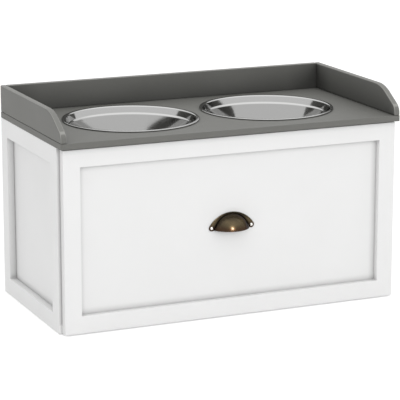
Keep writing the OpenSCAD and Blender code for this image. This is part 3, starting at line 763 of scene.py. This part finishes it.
pull_back = pull_high.y
pull_out = pull_high.y - pull_low.y
pull_edge = pull_low.z + 1 * MM
plate_height = pull_high.z - pull_edge
ear_x = pull_high.x - EAR
ear_z = 4 * MM
dome_back = (DOME_BASE ** 2 - DOME_DROP ** 2 - pull_out ** 2) / (2 * pull_out)
dome_radius = math.hypot(dome_back, DOME_BASE)
pull_width = pull_high.x - pull_low.x
print("pull is", round(pull_width / MM, 1), "mm wide and stands out", round(pull_out / MM, 1), "mm")

# %% [markdown]
# ## The curves of the pull
# Two functions hold its shape. One gives a point of the cup: it blends from the
# arch on the drawer to the arch of the lip and pushes the result out to the
# ball. The other gives a section of the plate: a ray from the arch's middle
# finds where the plate starts, at the cup, and where it ends, at its outer arc
# or at the round ear.

# %% A point of the cup and a section of the plate
def dome_point(share, turn, radius):
    """A point of the cup: turn 0 to 1 along the arch, share 0 at the drawer to 1 at the lip."""
    ball = Vector((0, dome_back, -DOME_DROP))
    foot = math.asin(DOME_DROP / DOME_BASE)
    lip_radius = math.sqrt(dome_radius ** 2 - DOME_DROP ** 2)
    lip_start = math.asin(dome_back / lip_radius)
    a = foot + (math.pi - 2 * foot) * turn
    b = lip_start + (math.pi - 2 * lip_start) * turn
    base = Vector((DOME_BASE * math.cos(a), 0, DOME_BASE * math.sin(a) - DOME_DROP)) - ball
    lip = Vector((lip_radius * math.cos(b), dome_back - lip_radius * math.sin(b), 0)) - ball
    return ball + (base * (1 - share) + lip * share).normalized() * radius


def reach(middle, radius, way):
    """Where a ray from the arch's middle enters and leaves a circle, or None where it misses."""
    along = middle.dot(way)
    room = radius ** 2 - middle.length_squared + along ** 2
    return None if room < 0 else (along - math.sqrt(room), along + math.sqrt(room))


def plate_section(turn):
    """Section of the plate at an angle round the arch, as (distance, thickness) points."""
    inner = plate_height - EAR
    drop = (ear_x ** 2 + ear_z ** 2 - inner ** 2) / (2 * (inner - ear_z))
    ear_middle = Vector((ear_x, ear_z + DOME_DROP))
    touch = Vector((ear_x, ear_z + drop)).normalized() * (plate_height + drop)
    touch += Vector((0, DOME_DROP - drop))
    right_turn = min(turn, math.pi - turn)
    way = Vector((math.cos(right_turn), math.sin(right_turn)))
    ear = reach(ear_middle, EAR, way)
    arch = DOME_BASE - PULL_WALL
    inside = arch if arch * way.y >= DOME_DROP else ear[0]
    if right_turn > math.atan2(touch.y, touch.x):
        outside = reach(Vector((0, DOME_DROP - drop)), plate_height + drop, way)[1]
    else:
        outside = ear[1]
    soft = min(PLATE_SOFT, (outside - inside) / 3)
    return [(inside, 0), (inside, PULL_WALL), (outside - soft, PULL_WALL),
            (outside - 0.3 * soft, PULL_WALL - 0.3 * soft), (outside, PULL_WALL - soft), (outside, 0)]


print("the lip stands out", round(-dome_point(1, 0.5, dome_radius).y / MM, 1), "mm in its middle")

# %% [markdown]
# ## Joining the pull
# The cup's outside and inside are one grid, closed along the foot and the lip.
# The plate is its row of sections, and the bead is a thin tube along the lip.
# The three run into each other a little, like metal poured in one go.

# %% Build the cup, its plate and its bead
ALONG = 72
ACROSS = 22


def grid_faces(rows, columns, start=0, closed=False):
    """Faces of a grid of points, row by row. closed joins the last row to the first."""
    faces = []
    for r in range(rows if closed else rows - 1):
        for c in range(columns - 1):
            a, b = start + r * columns, start + (r + 1) % rows * columns
            faces.append([a + c, a + c + 1, b + c + 1, b + c])
    return faces


def cup_pull_mesh():
    points, faces = [], []
    # The cup, outside and inside, as one closed loop of rows
    rows = [(s / ACROSS, dome_radius) for s in range(ACROSS + 1)]
    rows += [(s / ACROSS, dome_radius - PULL_WALL) for s in range(ACROSS, -1, -1)]
    for share, radius in rows:
        points += [dome_point(share, t / ALONG, radius) for t in range(ALONG + 1)]
    faces += grid_faces(len(rows), ALONG + 1, closed=True)
    # The plate, as sections round the arch
    ear_angle = math.atan2(ear_z + DOME_DROP, ear_x)
    span = math.asin(EAR / math.hypot(ear_x, ear_z + DOME_DROP)) * INSIDE_EAR
    start, count = len(points), 2 * ALONG
    for i in range(count + 1):
        angle = ear_angle - span + (math.pi - 2 * (ear_angle - span)) * i / count
        for distance, out in plate_section(angle):
            points.append((distance * math.cos(angle), -out, distance * math.sin(angle) - DOME_DROP))
    columns = 6
    for i in range(count):
        a, b = start + i * columns, start + (i + 1) * columns
        faces += [[a + c, a + (c + 1) % columns, b + (c + 1) % columns, b + c] for c in range(columns)]
    faces += [[start + c for c in range(columns)], [start + count * columns + c for c in range(columns)]]
    # The bead along the lip, just inside the cup's outline
    start, sides = len(points), 12
    bead_middle = math.sqrt(dome_radius ** 2 - DOME_DROP ** 2) - LIP_BEAD
    first = math.asin(dome_back / bead_middle)
    for t in range(ALONG + 1):
        turn = first + (math.pi - 2 * first) * t / ALONG
        outward = Vector((math.cos(turn), -math.sin(turn), 0))
        middle = Vector((0, dome_back, LIP_BEAD)) + outward * bead_middle
        points += [middle + outward * LIP_BEAD * math.cos(2 * math.pi * k / sides)
                   + Vector((0, 0, LIP_BEAD * math.sin(2 * math.pi * k / sides))) for k in range(sides)]
    for t in range(ALONG):
        a, b = start + t * sides, start + (t + 1) * sides
        faces += [[a + k, a + (k + 1) % sides, b + (k + 1) % sides, b + k] for k in range(sides)]
    faces += [[start + k for k in range(sides)], [start + ALONG * sides + k for k in range(sides)]]
    return points, faces


points, faces = cup_pull_mesh()
cup_pull = stand_for("cup_pull", points, faces, origin=(0, pull_back, pull_edge), crease=35)
print("cup pull has", len(faces), "faces")

# %% [markdown]
# ## The floor
# The photo is a studio shot on pure white. One large white plane stands for
# the floor. A white floor under plain light renders light grey, so rays from
# the camera and from mirrors see it a little brighter, and the light that it
# gives to the feeder stays as it is. The soft shadow under the feeder stays too.

# %% A white floor that keeps the shadow
FLOOR_LIFT = 0.35
FLOOR_HALF = 12


def white_floor():
    finish, tree, shader = new_finish("studio_floor")
    shader.inputs["Base Color"].default_value = grey(0.9)
    shader.inputs["Roughness"].default_value = 0.9
    shader.inputs["Specular IOR Level"].default_value = 0.1
    rays = add_node(tree, "LightPath").outputs
    seen = calculate(tree, "MAXIMUM", rays["Is Camera Ray"], rays["Is Glossy Ray"])
    glow = add_node(tree, "Emission", Strength=calculate(tree, "MULTIPLY", seen, FLOOR_LIFT))
    both = add_node(tree, "AddShader", i0=shader.outputs[0], i1=glow.outputs[0])
    tree.links.new(both.outputs[0], tree.nodes["Material Output"].inputs["Surface"])
    return finish


floor_mesh = bpy.data.meshes.new("studio_floor")
corners = [(x * FLOOR_HALF, y * FLOOR_HALF, 0) for x, y in ((-1, -1), (1, -1), (1, 1), (-1, 1))]
floor_mesh.from_pydata(corners, [], [[0, 1, 2, 3]])
floor_mesh.materials.append(white_floor())
floor = bpy.data.objects.new("studio_floor", floor_mesh)
scene.collection.objects.link(floor)
floor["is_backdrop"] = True
print("floor is", 2 * FLOOR_HALF, "m wide")

# %% [markdown]
# ## The sky
# The world stands for the white tent round a product in a studio. Painted
# faces get plain even light from it, and the camera sees it pure white.
# Polished steel looks like what it mirrors, and a tent is brightest under its
# main lamp, so reflections see a sky that is brighter overhead.

# %% A white sky, a little brighter overhead where metal mirrors it
SKY_LIGHT = 0.8
OVERHEAD_GLOW = 1.5
world = bpy.data.worlds.new("studio")
scene.world = world
world.use_nodes = True
sky = world.node_tree
rays = add_node(sky, "LightPath").outputs
way = add_node(sky, "TexCoord").outputs["Generated"]
way_up = add_node(sky, "SeparateXYZ", Vector=way).outputs["Z"]
mirrored = between(sky, way_up, 1, OVERHEAD_GLOW, start=0.4, end=0.75)
plain = calculate(sky, "MAXIMUM", rays["Is Camera Ray"], rays["Is Transmission Ray"])
lit = between(sky, plain, SKY_LIGHT, 1, start=0, end=1)
strength = add_node(sky, "Mix", {"data_type": "FLOAT"}, i0=rays["Is Glossy Ray"], i2=lit, i3=mirrored)
background = sky.nodes["Background"]
background.inputs["Color"].default_value = (1, 1, 1, 1)
sky.links.new(strength.outputs[0], background.inputs["Strength"])
print("sky gives", SKY_LIGHT, "and", OVERHEAD_GLOW, "overhead in mirrors")

# %% [markdown]
# ## The lamps
# Two large lamps give the front, the side and the top their different shades.
# Light linking keeps the front lamp off the bowls, where it would burn streaks,
# as a photographer holds a card in front of a lamp. A small lamp at the same
# place lights the pull alone, and only in its reflections, for its highlight.
# The Standard view shows each colour about as it is written.

# %% Two soft lamps, and a glint on the pull
FRONT_PLACE = (0, -2.6, 1.2)
FRONT_AIM = (0, 0, 0.2)
TOP_PLACE = (0, 0, 2.6)


def soft_lamp(name, place, aim, size, watts):
    """A square lamp that points at a place."""
    light = bpy.data.lights.new(name, "AREA")
    light.shape = "SQUARE"
    light.size = size
    light.energy = watts
    lamp = bpy.data.objects.new(name, light)
    lamp.location = place
    lamp.rotation_euler = (Vector(aim) - Vector(place)).to_track_quat("-Z", "Y").to_euler()
    scene.collection.objects.link(lamp)
    return lamp


def link_lamp(lamp, pieces, state):
    """Makes a lamp light only those pieces (INCLUDE), or everything but them (EXCLUDE)."""
    chosen = bpy.data.collections.new(lamp.name + "_pieces")
    for piece in pieces:
        chosen.objects.link(piece)
    for entry in chosen.collection_objects:
        entry.light_linking.link_state = state
    lamp.light_linking.receiver_collection = chosen


front_lamp = soft_lamp("front_lamp", FRONT_PLACE, FRONT_AIM, size=0.7, watts=12)
link_lamp(front_lamp, bowls, "EXCLUDE")
top_lamp = soft_lamp("top_lamp", TOP_PLACE, (0, 0, 0), size=2, watts=7)
top_lamp.visible_glossy = False
glint_lamp = soft_lamp("glint_lamp", FRONT_PLACE, FRONT_AIM, size=0.22, watts=34)
glint_lamp.visible_diffuse = False
link_lamp(glint_lamp, [cup_pull], "INCLUDE")
scene.view_settings.view_transform = "Standard"
print("lamps:", front_lamp.name, top_lamp.name, glint_lamp.name)

# %% [markdown]
# ## The size of the finished model
# Its box is measured and printed, in millimetres. The finished model has to stay inside
# the box of the imported one.

# %% Measure the finished model and print its size
low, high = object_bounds()
print("visual box", [round(x / MM, 1) for x in high - low], "mm")
